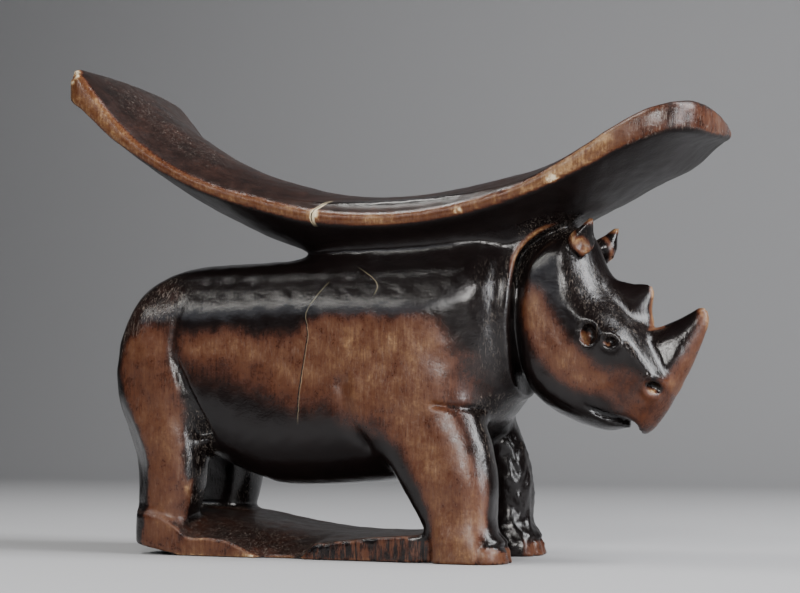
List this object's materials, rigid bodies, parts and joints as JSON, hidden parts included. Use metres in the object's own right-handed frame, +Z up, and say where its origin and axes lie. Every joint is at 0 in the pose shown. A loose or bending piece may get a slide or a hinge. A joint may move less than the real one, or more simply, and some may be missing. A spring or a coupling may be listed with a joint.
{
  "type": "carved headrest",
  "caption": "Dark wooden headrest carved from one block as a standing rhinoceros, with a long upswept saddle on a broad column rising from its back and a thin plate joining the feet.",
  "frame": {"origin": "middle of the footprint of the whole object's box, on the plane it stands on", "axes": "+X forward to the animal's head, along the saddle's length; +Y to the animal's left, across the saddle; +Z up"},
  "size_m": [0.2294, 0.0706, 0.1726],
  "materials": {
    "carved_wood": "dark polished hardwood with a glossy near-black patina, worn to warm brown on the flank, thigh and jaw and to tan on the saddle's rim"
  },
  "bodies": {
    "root": {"headrest": "carved_wood"}
  },
  "joints": []
}
